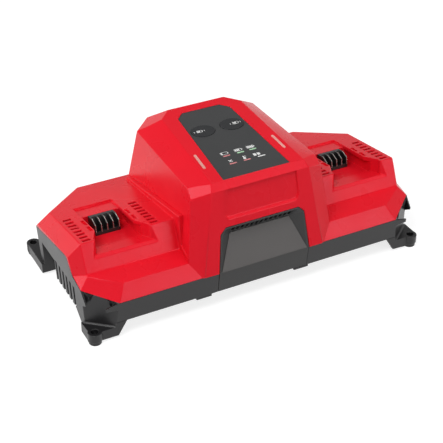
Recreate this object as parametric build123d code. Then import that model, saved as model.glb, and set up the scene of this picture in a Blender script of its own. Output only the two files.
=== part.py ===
from build123d import *
import os
from math import sqrt

# Two-bay battery charger. Millimetres, +Z up, front towards -Y.
# Origin: on the floor, in the middle of the four mounting ears.

# ---------------------------------------------------------------- housing sizes
WALL = 3.0                  # wall of both housing shells
FIT = 0.3                   # gap round a piece that sits in an opening

EAR_PITCH_X = 400.0         # mounting holes, side to side
EAR_PITCH_Y = 187.7         # mounting holes, front to rear
EAR_HOLE_R = 4.2
EAR_EDGE = 7.0              # from a mounting hole to the ear's outer edge at the side
EAR_END = 3.75              # and to its edge at the front or rear
EAR_TOP_Z = 14.5            # top face of the ears
EAR_SKIRT_Z = 2.5           # lower edge of the skirts round the ears
FOOT_R = 8.0                # boss round a mounting hole
FOOT_TIP_R = 7.0            # the foot below the skirt
FOOT_TIP_TALL = 4.5

BASE_Z = 19.5               # underside of the housing
BASE_SIDE_X = 205.7         # half width at SIDE_Z
SIDE_Z = 69.5
SIDE_DRAFT = 2.0            # how far the side wall leans out up to SIDE_Z
PART_Y = 100.6              # half depth at the parting line
END_DRAFT = 3.25            # how far the front and rear walls lean out below it
PART_FRONT_Z = 46.1         # height of the parting line at the front
PART_REAR_Z = 51.0          # height of the parting line at the rear
REAR_CUT_Y = 56.5           # rear corner cut at the underside of the side wall
REAR_CORNER_CUT = 42.7      # and at the rear wall, in from the side wall
FRONT_CORNER_CUT = 33.2     # front corner cut at the front wall

# parting line along the side walls: (y, height)
PART_LOW = (-73.9, 55.9)
PART_STEP = (-52.2, 60.9)
PART_PEAK = (-38.2, 78.6)
PART_TAIL = (58.5, 59.5)

# ---------------------------------------------------------------- wing sizes
BAND_TOP_Y = -90.8          # top edge of the front band
BAND_TOP_Z = 63.5
BAND_END_CUT = 38.5         # end of that edge, in from the side wall
SHELF_END_Y = -67.0         # foot of the wing's front wall
SHELF_END_Z = 68.6
DECK_FRONT_Y = -53.6        # front edge of the sloping deck
DECK_FRONT_Z = 99.3
DECK_SLOPE = 0.1587         # fall of the deck per mm towards the rear
DECK_EDGE_CUT = 11.2        # outer fold of the deck, in from the side wall
DECK_CUT_Y = 41.0           # rear corner of the deck, on the fold
DECK_REAR_Y = 87.0
REAR_BEVEL_Y = 60.0         # rear corner of the bevel at the parting line
REAR_BEVEL_Z = 59.0

# ---------------------------------------------------------------- tower sizes
ROOF_Y = -80.9              # front edge of the roof
ROOF_Z = 148.7
ROOF_SLOPE = 0.082          # rise of the roof per mm towards the rear
ROOF_HALF_X = 56.2          # half width of the roof at its front edge
ROOF_TAPER = 0.047
RIDGE_X = 78.1              # upper edge of the tower's side wall, at the front
RIDGE_TAPER = 0.0223
RIDGE_Z = 143.3
RIDGE_END_Y = 67.0
SIDE_LEAN = 0.123           # lean of the tower's side wall
FACE_TOP_Y = -88.3          # front face, at FACE_TOP_Z
FACE_TOP_Z = 142.0
FACE_LOW_Y = -101.6         # front face, at the parting line
FACE_EDGE_X = 58.8          # half width of the front face at its top
FACE_FOOT_X = 73.8          # half width at its foot
CHEEK_X = 78.1              # rear edge of the slanted cheek beside the front face
CHEEK_Y = -80.3
CHEEK_Z = 135.3
TOWER_REAR_Y = 87.2
ROOF_REAR_Y = 67.2
ROOF_REAR_X = 35.2
SHOULDER_X = 53.0           # rear shoulder of the tower
SHOULDER_Z = 146.0

# collar between the tower and the wings: (y, height) along its upper edge
COLLAR_X = 87.5
COLLAR_ROUND = 1.2
COLLAR_TOE = (-94.2, 67.0)
COLLAR_BEND = (-71.3, 74.9)
COLLAR_PEAK = (-66.7, 109.7)
COLLAR_TAIL = (73.0, 83.0)
COLLAR_END = (85.0, 55.0)

# ---------------------------------------------------------------- battery bay
BAY_SHIFT = 5.5             # middle of a bay, outwards from the middle of its deck
RAIL_HALF = 22.5            # half width between the rails
RAIL_THICK = 5.0
RAIL_OVERHANG = 4.5         # how far a rail stands over the groove below it
MOUTH_HALF = 31.0           # half width of the mouth in front of the rails
MOUTH_DEPTH = 16.5
MOUTH_LIP_V = -56.3         # where the mouth's floor turns down to the front wall
LIP_REACH = 6.0
PIT_DEPTH = 18.5
MOUTH_V = -49.0             # stations along the deck, from its middle
RAIL_V = -31.0
FLARE_V = -53.0             # where the mouth's sides turn outwards
FLARE_REACH = 7.5
LEDGE_V = -38.0
BLOCK_FRONT_V = -9.0
BLOCK_REAR_V = 11.4
BAY_REAR_V = 34.0
LANDING_DEPTH = 2.2
SKIN = 2.5                  # wall round a bay
BLADES = 5
BLADE_PITCH = 6.85
BLADE_THICK = 0.8
BLADE_PROUD = 0.6
BLADE_SLOT = 2.4            # slot in the block's front round each blade
BLADE_SLOT_DEEP = 2.0
BLOCK_SIDE = 1.2            # block outside its outer blades
BLOCK_TOP = 1.5             # top of the block below the deck
BLOCK_TAIL = 13.0           # half length of the block's foot through the floor
GRILLE_SLOTS = 8
GRILLE_PITCH = 8.36
GRILLE_LONG = 9.4
GRILLE_WIDE = 4.4
GRILLE_FIRST_V = -48.2
GRILLE_OFFSET = 38.8        # from the middle of the bay
LATCH_OFFSET = 25.6
LATCH_V = (-24.8, -7.2)
LATCH_LONG = 12.6
LATCH_WIDE = 3.5
LATCH_DEEP = 2.5

# ---------------------------------------------------------------- panel, keys, light bars
PANEL_HALF = 40.4           # half width at the lower edge
PANEL_SIDE_V = 127.2        # where the panel's sides end
PANEL_SIDE_X = 33.0
PANEL_TOP_V = 136.6
PANEL_TOP_X = 23.5
PANEL_LOW_V = 1.2
PANEL_SINK = 0.6            # panel face below the roof
PANEL_THICK = 1.4
PANEL_LEDGE = 3.0
KEY_X = 18.0
KEY_V = 93.8
KEY_LONG = 28.0
KEY_WIDE = 22.0
KEY_GAP = 0.35
KEY_TRAVEL = 0.8
KEY_FLANGE = 1.5
KEY_STEM_R = 3.0
BAR_FROM_EDGE = 7.2         # middle of a light bar's front end, in from the roof's edge
BAR_LEAN = 1.3              # how far its rear end lies further in
BAR_FRONT_V = 27.5
BAR_REAR_V = 55.0
BAR_WIDE = 3.0
BOARD_THICK = 1.6
DISPLAY_BOARD_DROP = 9.0    # top of the display board below the roof
SWITCH_TALL = 1.9

# ---------------------------------------------------------------- front moulding
OPEN_FOOT_X = 56.0          # opening in the tower's front: half width at the foot
OPEN_SIDE_X = 51.5
OPEN_SIDE_Z = 91.5
OPEN_TOP_X = 44.8
OPEN_TOP_Z = 98.3
RIM = 1.6                   # rim of the moulding round its recess
MOULD_WALL = 2.4
INSET_TOP_X = 37.1
INSET_TOP_Y = -86.8
INSET_TOP_Z = 85.5
INSET_FOOT_X = 53.6
INSET_THICK = 1.2
LOUVRES = 13
LOUVRE_PITCH = 5.8
LOUVRE_WIDE = 3.4
LOUVRE_LONG = 8.6
STRIP_THICK = 1.6
LABEL_FOOT_X = 40.7         # bare label recess above the opening
LABEL_FOOT_Z = 106.5
LABEL_SIDE_X = 45.5
LABEL_SIDE_Z = 112.9
LABEL_TOP_X = 43.3
LABEL_DEEP = 2.2

# ---------------------------------------------------------------- vents, notches, fasteners
VENT_SLOTS = 6
VENT_PITCH = 10.4
VENT_FIRST_Y = -50.2
VENT_WIDE = 4.4
VENT_TOP_Z = 46.0
NOTCH_FRONT_Y = 6.5         # hand notch behind the side vents
NOTCH_REAR_Y = 46.0
NOTCH_TOP_Z = 44.5
NOTCH_DEEP = 15.0
NOTCH_SLANT = 8.0
BOSS_JOINT_Z = 40.5
BASE_BOSS_R = 6.0
COVER_BOSS_R = 4.6
SCREW_R = 2.0
SCREW_HEAD_R = 3.8
SCREW_HEAD_TALL = 2.6
SCREW_SEAT_Z = 34.5
SCREW_LONG = 20.0
SCREWS_FROM_SIDE = ((19.7, -57.0), (103.7, -80.0), (103.7, 76.0))
SCREW_AT_BOARD = 45.7       # the screw behind the main board, in from the side wall
BOSS_GAP = 0.5              # between its boss and the board
TAB_LONG = 18.5
TAB_TALL = 3.0
TAB_X = (-72.7, 49.2)

# ---------------------------------------------------------------- supply and fans
STANDOFF_R = 3.6
STANDOFF_TALL = 9.0
PCB_X = 150.0
PCB_FRONT_Y = -68.0
PCB_REAR_Y = 56.0
PCB_SCREWS = ((142.0, -60.0), (142.0, 48.0), (30.0, -60.0), (30.0, 48.0))
PCB_SCREW_R = 1.5
PCB_SCREW_HEAD_R = 2.8
PCB_SCREW_LONG = 7.0
SINK_X = 48.0               # mounting plate of a heat sink
SINK_PLATE = 4.0
SINK_FIN_LONG = 22.0
SINK_FIN_THICK = 1.6
SINK_FINS = 7
SINK_TALL = 56.0
SINK_LONG = 92.0
SINK_Y = -6.0
FAN_SIZE = 50.0
FAN_THICK = 15.0
FAN_X = 29.0
FAN_Z = 104.5
FAN_BORE_R = 23.5
FAN_TIP_GAP = 1.0
FAN_HUB_R = 10.0
FAN_BLADES = 7
FAN_BLADE_PITCH = 38.0
FAN_SHAFT_R = 2.0
FAN_SHAFT_GAP = 0.05
FAN_HOLE_PITCH = 40.0
FAN_SCREW_R = 1.6
REAR_SLOT_WIDE = 3.4
REAR_SLOT_PITCH = 6.6
GLAND_X = 70.0
GLAND_Z = 35.5
GLAND_R = 8.5
GLAND_FLANGE_R = 11.5
GLAND_BORE_R = 4.6
GLAND_SEAT_Y = 96.0
GLAND_FLANGE = 2.4
GLAND_OUT = 1.2
PACK_WIDE = 16.0            # transistor packages on the heat sinks
PACK_TALL = 21.0
PACK_THICK = 5.0
PACK_LIFT = 8.0
PACK_PITCH = 26.0
PIN_PITCH = 5.4

# ---------------------------------------------------------------- derived places
EAR_X = EAR_PITCH_X / 2
EAR_Y = EAR_PITCH_Y / 2
BASE_LOW_X = BASE_SIDE_X - SIDE_DRAFT   # half width at the underside
BASE_LOW_Y = PART_Y - END_DRAFT         # half depth at the underside
BAR_FRONT_X = ROOF_HALF_X - BAR_FROM_EDGE
BAR_REAR_X = BAR_FRONT_X - BAR_LEAN
CORNER_X = BASE_SIDE_X - FRONT_CORNER_CUT
REAR_CUT_X = BASE_SIDE_X - REAR_CORNER_CUT
BAND_END_X = BASE_SIDE_X - BAND_END_CUT
DECK_EDGE_X = BASE_SIDE_X - DECK_EDGE_CUT
BAY_X = (COLLAR_X + DECK_EDGE_X) / 2 + BAY_SHIFT
HOUSING_SCREWS = [(BASE_SIDE_X - x, y) for x, y in SCREWS_FROM_SIDE]
HOUSING_SCREWS += [(BASE_SIDE_X - SCREW_AT_BOARD, PCB_REAR_Y + BASE_BOSS_R + BOSS_GAP)]


def side_x(z):
    """Half width of the side wall at a height."""
    return BASE_LOW_X + (BASE_SIDE_X - BASE_LOW_X) * (z - BASE_Z) / (SIDE_Z - BASE_Z)


def deck_z(y):
    """Height of the wing's deck."""
    return DECK_FRONT_Z - DECK_SLOPE * (y - DECK_FRONT_Y)


def roof_z(y):
    """Height of the tower's roof."""
    return ROOF_Z + ROOF_SLOPE * (y - ROOF_Y)


def face_y(z):
    """Front face of the tower."""
    lean = (FACE_TOP_Y - FACE_LOW_Y) / (FACE_TOP_Z - PART_FRONT_Z)
    return FACE_LOW_Y + lean * (z - PART_FRONT_Z)


# ---------------------------------------------------------------- form helpers
def block(x0, x1, y0, y1, z0, z1):
    """A box between its limits."""
    centre = ((x0 + x1) / 2, (y0 + y1) / 2, (z0 + z1) / 2)
    return Pos(*centre) * Box(x1 - x0, y1 - y0, z1 - z0)


def prism_x(points, x0, x1):
    """A (y, z) outline carried along X."""
    outline = Polyline(*[(x0, y, z) for y, z in points], close=True)
    return extrude(make_face(outline), amount=x1 - x0, dir=(1, 0, 0))


def prism_y(points, y0, y1):
    """An (x, z) outline carried along Y."""
    outline = Polyline(*[(x, y0, z) for x, z in points], close=True)
    return extrude(make_face(outline), amount=y1 - y0, dir=(0, 1, 0))


def prism_z(points, z0, z1):
    """An (x, y) outline carried along Z."""
    outline = Polyline(*[(x, y, z0) for x, y in points], close=True)
    return extrude(make_face(outline), amount=z1 - z0, dir=(0, 0, 1))


def rod(x, y, z0, z1, radius):
    """An upright cylinder between two heights."""
    return Pos(x, y, (z0 + z1) / 2) * Cylinder(radius, z1 - z0)


def rod_y(x, z, y0, y1, radius):
    """A cylinder along Y between two stations."""
    return Pos(x, (y0 + y1) / 2, z) * Rot(90, 0, 0) * Cylinder(radius, y1 - y0)


def hexagon(radius, tall):
    """A six-sided head about the origin."""
    return extrude(RegularPolygon(radius, 6), amount=tall / 2, both=True)


def cut_back(body, inside, face, inset=0.0):
    """Cut a body back to the flat face through three points, moved inwards by inset."""
    a, b, c = (Vector(*point) for point in face)
    normal = (b - a).cross(c - a).normalized()
    if (Vector(*inside) - a).dot(normal) > 0:
        normal = -normal
    return split(body, bisect_by=Plane(origin=a - normal * inset, z_dir=normal), keep=Keep.BOTTOM)


def faceted(body, inside, faces, inset=0.0):
    """Cut a body back to several flat faces."""
    for face in faces:
        body = cut_back(body, inside, face, inset)
    return body


def drawn_in(points, inset):
    """A closed outline, listed anticlockwise, with each edge moved inwards."""
    moved = []
    count = len(points)
    for i in range(count):
        before, here, after = points[i - 1], points[i], points[(i + 1) % count]
        ax, ay = here[0] - before[0], here[1] - before[1]
        bx, by = after[0] - here[0], after[1] - here[1]
        a_len, b_len = sqrt(ax * ax + ay * ay), sqrt(bx * bx + by * by)
        nax, nay = -ay / a_len, ax / a_len
        nbx, nby = -by / b_len, bx / b_len
        scale = inset / (1 + nax * nbx + nay * nby)
        moved.append((here[0] + (nax + nbx) * scale, here[1] + (nay + nby) * scale))
    return moved


def level(y, z):
    """Two points of an edge that runs straight across the object."""
    return ((0, y, z), (1, y, z))


def both_sides(body):
    """A body and its mirror image, joined."""
    return body + mirror(body, about=Plane.YZ)


def other_side(body):
    """The mirror image of a body."""
    return mirror(body, about=Plane.YZ)


def right_only(body):
    """The part of a body on the right of the middle plane."""
    return split(body, bisect_by=Plane.YZ, keep=Keep.TOP)


# ---------------------------------------------------------------- housing forms, right half
BAND_FOOT = level(-PART_Y, PART_FRONT_Z)
BAND_TOP = level(BAND_TOP_Y, BAND_TOP_Z)
SHELF_END = level(SHELF_END_Y, SHELF_END_Z)
DECK_FRONT = level(DECK_FRONT_Y, DECK_FRONT_Z)
DECK_REAR = level(DECK_REAR_Y, deck_z(DECK_REAR_Y))
WALL_FOOT = (DECK_EDGE_X, SHELF_END_Y, SHELF_END_Z)
WALL_TOP = (DECK_EDGE_X, DECK_FRONT_Y, DECK_FRONT_Z)
FOLD_REAR = (DECK_EDGE_X, DECK_CUT_Y, deck_z(DECK_CUT_Y))
SIDE_STEP = (side_x(PART_STEP[1]), *PART_STEP)
SIDE_PEAK = (side_x(PART_PEAK[1]), *PART_PEAK)
SIDE_LOW = (side_x(PART_LOW[1]), *PART_LOW)
FRONT_CORNER = (CORNER_X, -PART_Y, PART_FRONT_Z)
CORNER_CREST = ((BAND_END_X + DECK_EDGE_X) / 2, (BAND_TOP_Y + SHELF_END_Y) / 2, (BAND_TOP_Z + SHELF_END_Z) / 2)
REAR_CORNER = (side_x(REAR_BEVEL_Z), REAR_BEVEL_Y, REAR_BEVEL_Z)
REAR_CORNER_END = (REAR_CUT_X, PART_Y, PART_REAR_Z)
SIDE_FACE = ((BASE_LOW_X, 0, BASE_Z), (BASE_LOW_X, 50, BASE_Z), (BASE_SIDE_X, 0, SIDE_Z))
FRONT_FACE = (*level(-BASE_LOW_Y, BASE_Z), (0, -PART_Y, PART_FRONT_Z))
WING_CORE = (COLLAR_X, 0, PART_REAR_Z)
SHELF_CORE = (COLLAR_X, SHELF_END_Y, PART_FRONT_Z)
TOWER_CORE = (0, 0, PART_REAR_Z)
FACE_CORNER = (FACE_EDGE_X, face_y(FACE_TOP_Z), FACE_TOP_Z)
CHEEK = (CHEEK_X, CHEEK_Y, CHEEK_Z)
CHEEK_FACE = (FACE_CORNER, (FACE_FOOT_X, FACE_LOW_Y, PART_FRONT_Z), CHEEK)


def band_and_shelf(inset=0.0):
    """The low front of a wing: band, shelf and corner facets."""
    body = block(0, BASE_SIDE_X + 5, -PART_Y - 5, PART_STEP[0], BASE_Z - 5, DECK_FRONT_Z)
    faces = [
        (*BAND_FOOT, BAND_TOP[0]),
        (*BAND_TOP, SHELF_END[0]),
        (FRONT_CORNER, CORNER_CREST, SIDE_LOW),
        (WALL_FOOT, SIDE_STEP, SIDE_LOW),
        SIDE_FACE,
    ]
    return faceted(body, SHELF_CORE, faces, inset)


def platform(inset=0.0):
    """The raised deck of a wing with its bevels."""
    body = block(0, BASE_SIDE_X + 5, -PART_Y, PART_Y, BASE_Z - 5, DECK_FRONT_Z + 10)
    faces = [
        (*SHELF_END, DECK_FRONT[0]),
        (*DECK_FRONT, DECK_REAR[0]),
        (WALL_TOP, FOLD_REAR, SIDE_PEAK),
        (WALL_TOP, WALL_FOOT, SIDE_STEP),
        (FOLD_REAR, REAR_CORNER, REAR_CORNER_END),
        (*DECK_REAR, (0, PART_Y, PART_REAR_Z)),
        SIDE_FACE,
    ]
    return faceted(body, WING_CORE, faces, inset)


def tower_section(y, inset):
    """Cross-section of the tower at a station, both halves."""
    roof_half = ROOF_HALF_X - ROOF_TAPER * (y - ROOF_Y)
    ridge_half = RIDGE_X - RIDGE_TAPER * (y - ROOF_Y)
    foot_half = ridge_half + SIDE_LEAN * (RIDGE_Z - BASE_Z)
    right = [(foot_half, BASE_Z - 5), (ridge_half, RIDGE_Z), (roof_half, roof_z(y))]
    left = [(-x, z) for x, z in reversed(right)]
    points = drawn_in(right + left, inset)
    points[0] = (points[0][0], BASE_Z - 5)
    points[-1] = (points[-1][0], BASE_Z - 5)
    return make_face(Polyline(*[(x, y, z) for x, z in points], close=True))


def tower(inset=0.0):
    """The centre tower: a tapering body with flat cuts at both ends."""
    body = loft([tower_section(-PART_Y - 12, inset), tower_section(PART_Y, inset)], ruled=True)
    ridge_rear_x = RIDGE_X - RIDGE_TAPER * (RIDGE_END_Y - ROOF_Y)
    ridge_rear = (ridge_rear_x, RIDGE_END_Y, RIDGE_Z)
    shoulder = (SHOULDER_X, TOWER_REAR_Y, SHOULDER_Z)
    corner_foot = (ridge_rear_x + SIDE_LEAN * (RIDGE_Z - deck_z(0)), RIDGE_END_Y + 11, deck_z(0))
    faces = [
        (*level(FACE_TOP_Y, FACE_TOP_Z), (0, FACE_LOW_Y, PART_FRONT_Z)),
        (*level(FACE_TOP_Y, FACE_TOP_Z), (0, ROOF_Y, ROOF_Z)),
        CHEEK_FACE,
        (FACE_CORNER, (ROOF_HALF_X, ROOF_Y, ROOF_Z), CHEEK),
        (*level(TOWER_REAR_Y, SHOULDER_Z), (0, TOWER_REAR_Y, BASE_Z)),
        (*level(TOWER_REAR_Y, SHOULDER_Z), (0, ROOF_REAR_Y, roof_z(ROOF_REAR_Y))),
        ((ROOF_REAR_X, ROOF_REAR_Y, roof_z(ROOF_REAR_Y)), shoulder, ridge_rear),
        (ridge_rear, shoulder, corner_foot),
    ]
    return faceted(body, TOWER_CORE, faces, inset)


def collar():
    """The raised ledge that follows the wing round the tower's foot."""
    upper = [COLLAR_TOE, COLLAR_BEND, COLLAR_PEAK, COLLAR_TAIL, COLLAR_END]
    body = prism_x(upper + [(COLLAR_TOE[0], PART_FRONT_Z)], 0, COLLAR_X)
    rim = body.faces().sort_by(Axis.X)[-1].edges().filter_by_position(
        Axis.Z, COLLAR_BEND[1] - ABOVE, COLLAR_PEAK[1] + ABOVE).sort_by(Axis.Z)[-3:]
    return cut_back(fillet(rim, COLLAR_ROUND), (0, 0, PART_FRONT_Z), CHEEK_FACE)


def above_parting(drop=0.0):
    """Everything above the line where the cover meets the base."""
    line = [(-PART_Y, PART_FRONT_Z), PART_LOW, PART_STEP, PART_PEAK, PART_TAIL, (PART_Y, PART_REAR_Z)]
    low = [(y, z - drop) for y, z in line]
    reach, high = PART_Y + ABOVE, RIDGE_Z + 2 * ABOVE
    ends = [(reach, PART_REAR_Z - drop), (reach, high), (-reach, high), (-reach, PART_FRONT_Z - drop)]
    return prism_x(low + ends, -EAR_X - ABOVE, EAR_X + ABOVE)


def envelope():
    """Outer form of the right half, from the underside to the roof."""
    return right_only(band_and_shelf() + platform() + tower() + collar())


def hollow():
    """Space inside the cover's walls, right half."""
    return right_only(band_and_shelf(WALL) + platform(WALL) + tower(WALL))


def base_form(inset=0.0):
    """Outer form of the base's right half, carried up past the parting line."""
    body = block(0, BASE_SIDE_X + 5, -PART_Y - 5, PART_Y + 5, BASE_Z + inset, DECK_FRONT_Z)
    faces = [
        FRONT_FACE,
        (*level(BASE_LOW_Y, BASE_Z), (0, PART_Y, PART_REAR_Z)),
        (FRONT_CORNER, SIDE_LOW, (CORNER_X, -PART_Y, BASE_Z)),
        (REAR_CORNER, REAR_CORNER_END, (BASE_LOW_X, REAR_CUT_Y, BASE_Z)),
        SIDE_FACE,
    ]
    return faceted(body, WING_CORE, faces, inset)


# ---------------------------------------------------------------- battery bay, in the deck's own frame
DECK_NORMAL = Vector(0, DECK_SLOPE, 1).normalized()
BAY = Plane(origin=(BAY_X, 0, deck_z(0)), x_dir=(1, 0, 0), z_dir=DECK_NORMAL)
ABOVE = 20.0                # reach of a cut above the surface it starts from
BAY_FRONT_V = -90.0         # cuts that run out through the wing's front wall


def bay_box(u0, u1, v0, v1, w0, w1):
    """A box in the deck's frame: u across, v towards the rear, w above the deck."""
    return BAY * block(u0, u1, v0, v1, w0, w1)


def bay_void(grow=0.0):
    """The space that a battery's foot takes, grown by a skin for the wall round it."""
    rail, mouth = RAIL_HALF + grow, MOUTH_HALF + grow
    rear, step = BAY_REAR_V + grow, BLOCK_REAR_V + grow
    wide = mouth + FLARE_REACH
    right = [(wide, BAY_FRONT_V), (wide, FLARE_V - FLARE_REACH), (mouth, FLARE_V), (mouth, MOUTH_V),
             (rail, RAIL_V), (rail, rear)]
    plan = right + [(-u, v) for u, v in reversed(right)]
    landing, ledge, pit = -LANDING_DEPTH - grow, -MOUTH_DEPTH - grow, -PIT_DEPTH - grow
    lip_v, lip_w = MOUTH_LIP_V - grow / 2, ledge - LIP_REACH
    profile = [(BAY_FRONT_V, ABOVE), (BAY_FRONT_V, lip_w), (lip_v - LIP_REACH, lip_w), (lip_v, ledge),
               (LEDGE_V - grow, ledge), (LEDGE_V - grow, pit),
               (step, pit), (step, landing), (rear, landing), (rear, ABOVE)]
    groove_half = rail + RAIL_OVERHANG
    widening = (MOUTH_HALF - RAIL_HALF) / (RAIL_V - MOUTH_V)
    groove_v = RAIL_V - RAIL_OVERHANG / widening
    groove = block(-groove_half, groove_half, groove_v, step, pit, grow - RAIL_THICK)
    space = prism_z(plan, lip_w, ABOVE) + groove
    return BAY * (space & prism_x(profile, -wide, wide))


def bay_details():
    """Latch pockets on the rails and the vent slots either side of the bay."""
    cuts = []
    for side in (-1, 1):
        u = side * LATCH_OFFSET
        for v in LATCH_V:
            cuts.append(bay_box(u - LATCH_WIDE / 2, u + LATCH_WIDE / 2, v - LATCH_LONG / 2, v + LATCH_LONG / 2,
                                -LATCH_DEEP, ABOVE))
        u = side * GRILLE_OFFSET
        for i in range(GRILLE_SLOTS):
            v = GRILLE_FIRST_V + i * GRILLE_PITCH
            cuts.append(bay_box(u - GRILLE_LONG / 2, u + GRILLE_LONG / 2,
                                v - GRILLE_WIDE / 2, v + GRILLE_WIDE / 2, -WALL - 2, ABOVE))
    return Part() + cuts


BLOCK_HALF = (BLADES - 1) * BLADE_PITCH / 2 + BLOCK_SIDE
BLOCK_STEP_V = -1.0         # front edge of the block's flat top
BLOCK_CHIN_W = -6.0         # lower edge of its slanted front
BLADE_REAR_V = 3.0
BLADE_FOOT_W = -16.0
FOOT_V = (-6.8, 9.2)        # block's foot, along the bay
BOARD_DROP = 4.0            # the bay's board below the pit floor
BAY_BOARD_HALF = 20.0
BAY_BOARD_OVER = 7.0


def blade_row(outline, thick):
    """An outline in the bay's length repeated at each blade's place."""
    places = [(i - (BLADES - 1) / 2) * BLADE_PITCH for i in range(BLADES)]
    return Part() + [BAY * prism_x(outline, u - thick / 2, u + thick / 2) for u in places]


def block_outline(rear_v, low_w, inset=0.0):
    """Side view of the block's slanted front, with its front and top drawn in."""
    front = [(rear_v, low_w), (rear_v, -BLOCK_TOP), (BLOCK_STEP_V, -BLOCK_TOP),
             (BLOCK_FRONT_V, BLOCK_CHIN_W), (BLOCK_FRONT_V, low_w)]
    return drawn_in(front, inset)


def terminal_block():
    """Block that carries the terminal blades in slots, with a foot through the pit floor."""
    body = BAY * prism_x(block_outline(BLOCK_REAR_V - FIT, -PIT_DEPTH), -BLOCK_HALF, BLOCK_HALF)
    foot = bay_box(-BLOCK_TAIL, BLOCK_TAIL, *FOOT_V, -PIT_DEPTH - BOARD_DROP, -PIT_DEPTH)
    front = bay_box(-BLOCK_HALF, BLOCK_HALF, BAY_FRONT_V, BLOCK_STEP_V, -PIT_DEPTH, 0)
    slots = blade_row(block_outline(BLADE_REAR_V, -PIT_DEPTH - ABOVE), BLADE_SLOT) & front
    slots -= blade_row(block_outline(BLADE_REAR_V, -PIT_DEPTH - ABOVE, BLADE_SLOT_DEEP), BLADE_SLOT)
    return body + foot - slots - blades()


def blades():
    """Upright terminal blades, a little proud of the block's slanted front."""
    front = bay_box(-BLOCK_HALF, BLOCK_HALF, BAY_FRONT_V, BLOCK_STEP_V, -PIT_DEPTH, 0)
    proud = blade_row(block_outline(BLADE_REAR_V, BLADE_FOOT_W, -BLADE_PROUD), BLADE_THICK) & front
    root = blade_row(block_outline(BLADE_REAR_V, BLADE_FOOT_W, BLADE_SLOT_DEEP), BLADE_THICK)
    return proud + root


def bay_board():
    """Small board under the pit floor that the block's foot stands on."""
    top = -PIT_DEPTH - BOARD_DROP
    v0, v1 = FOOT_V[0] - BAY_BOARD_OVER, FOOT_V[1] + BAY_BOARD_OVER
    return bay_box(-BAY_BOARD_HALF, BAY_BOARD_HALF, v0, v1, top - BOARD_THICK, top)


# ---------------------------------------------------------------- roof furniture, in the roof's own frame
ROOF_NORMAL = Vector(0, -ROOF_SLOPE, 1).normalized()
ROOF = Plane(origin=(0, ROOF_Y, ROOF_Z), x_dir=(1, 0, 0), z_dir=ROOF_NORMAL)
PANEL_LOW_W = -PANEL_SINK - PANEL_THICK
ROOF_BOARD_W = -DISPLAY_BOARD_DROP
ROOF_BOARD_HALF = 52.0
ROOF_BOARD_V = (5.0, 122.0)
POST_R = 3.5
POSTS = ((46.0, 10.0), (42.0, 116.0))
KEY_CROWN = 0.5             # key top above the panel
KEY_LIP = 1.2               # flange of a key outside its hole
REST_GAP = 0.05             # free play of a key at rest
BAR_CROWN = 0.3
BAR_LIP = 1.0
BAR_FLANGE = 1.0
SWITCH_HALF = 3.0
PLUNGER_R = 1.75
PLUNGER_TALL = 1.6
LAMP_TALL = 1.2
LAMP_LONG = 3.2
LAMP_WIDE = 1.8
LAMP_X = (-17.0, 0.0, 15.0)
LAMP_V = (28.8, 43.7)


def roof_box(x0, x1, v0, v1, w0, w1):
    """A box in the roof's frame: v up the slope from the roof's front edge, w above it."""
    return ROOF * block(x0, x1, v0, v1, w0, w1)


def roof_rod(x, v, w0, w1, radius):
    """A cylinder square to the roof."""
    return ROOF * rod(x, v, w0, w1, radius)


def panel_outline(inset=0.0):
    """Outline of the panel's recess, drawn in."""
    right = [(PANEL_HALF, PANEL_LOW_V), (PANEL_SIDE_X, PANEL_SIDE_V), (PANEL_TOP_X, PANEL_TOP_V)]
    left = [(-x, v) for x, v in reversed(right)]
    return drawn_in(right + left, inset)


def key_oval(w0, w1, grow=0.0):
    """Oval of a key, between two heights."""
    oval = Pos(KEY_X, KEY_V, w0) * Ellipse(KEY_LONG / 2 + grow, KEY_WIDE / 2 + grow)
    return ROOF * extrude(oval, amount=w1 - w0)


def key():
    """A key cap with its flange below the panel and its stem above the switch."""
    flange_top = PANEL_LOW_W - REST_GAP
    cap = key_oval(flange_top, KEY_CROWN - PANEL_SINK)
    flange = key_oval(flange_top - KEY_FLANGE, flange_top, KEY_LIP)
    switch_top = ROOF_BOARD_W + SWITCH_TALL + PLUNGER_TALL
    stem = roof_rod(KEY_X, KEY_V, switch_top + KEY_TRAVEL + REST_GAP, flange_top, KEY_STEM_R)
    return cap + flange + stem


def light_bar(w0, w1, grow=0.0):
    """Round-ended bar beside the panel, between two heights."""
    run = sqrt((BAR_REAR_V - BAR_FRONT_V) ** 2 + (BAR_FRONT_X - BAR_REAR_X) ** 2)
    start, end = Vector(BAR_FRONT_X, BAR_FRONT_V, w0), Vector(BAR_REAR_X, BAR_REAR_V, w0)
    frame = Plane(origin=(start + end) / 2, x_dir=end - start, z_dir=(0, 0, 1))
    bar = frame * SlotOverall(run + 2 * grow, BAR_WIDE + 2 * grow)
    return ROOF * extrude(bar, amount=w1 - w0)


def light_pipe():
    """Clear bar with a flange that seats under the roof."""
    return light_bar(-WALL, BAR_CROWN) + light_bar(-WALL - BAR_FLANGE, -WALL, BAR_LIP)


def display_panel():
    """Panel in the roof's recess, with holes for both keys."""
    plate = ROOF * prism_z(panel_outline(FIT), PANEL_LOW_W, -PANEL_SINK)
    return plate - both_sides(key_oval(PANEL_LOW_W - 1, ABOVE, KEY_GAP))


def roof_cuts():
    """Recess and window for the panel, slots for the light bars."""
    recess = ROOF * prism_z(panel_outline(), PANEL_LOW_W, ABOVE)
    window = ROOF * prism_z(panel_outline(PANEL_LEDGE), -WALL - 1, ABOVE)
    keys = both_sides(key_oval(-WALL - 1, PANEL_LOW_W, KEY_LIP + FIT))
    bars = both_sides(light_bar(-WALL - 1, ABOVE))
    return recess + window + keys + bars


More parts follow.
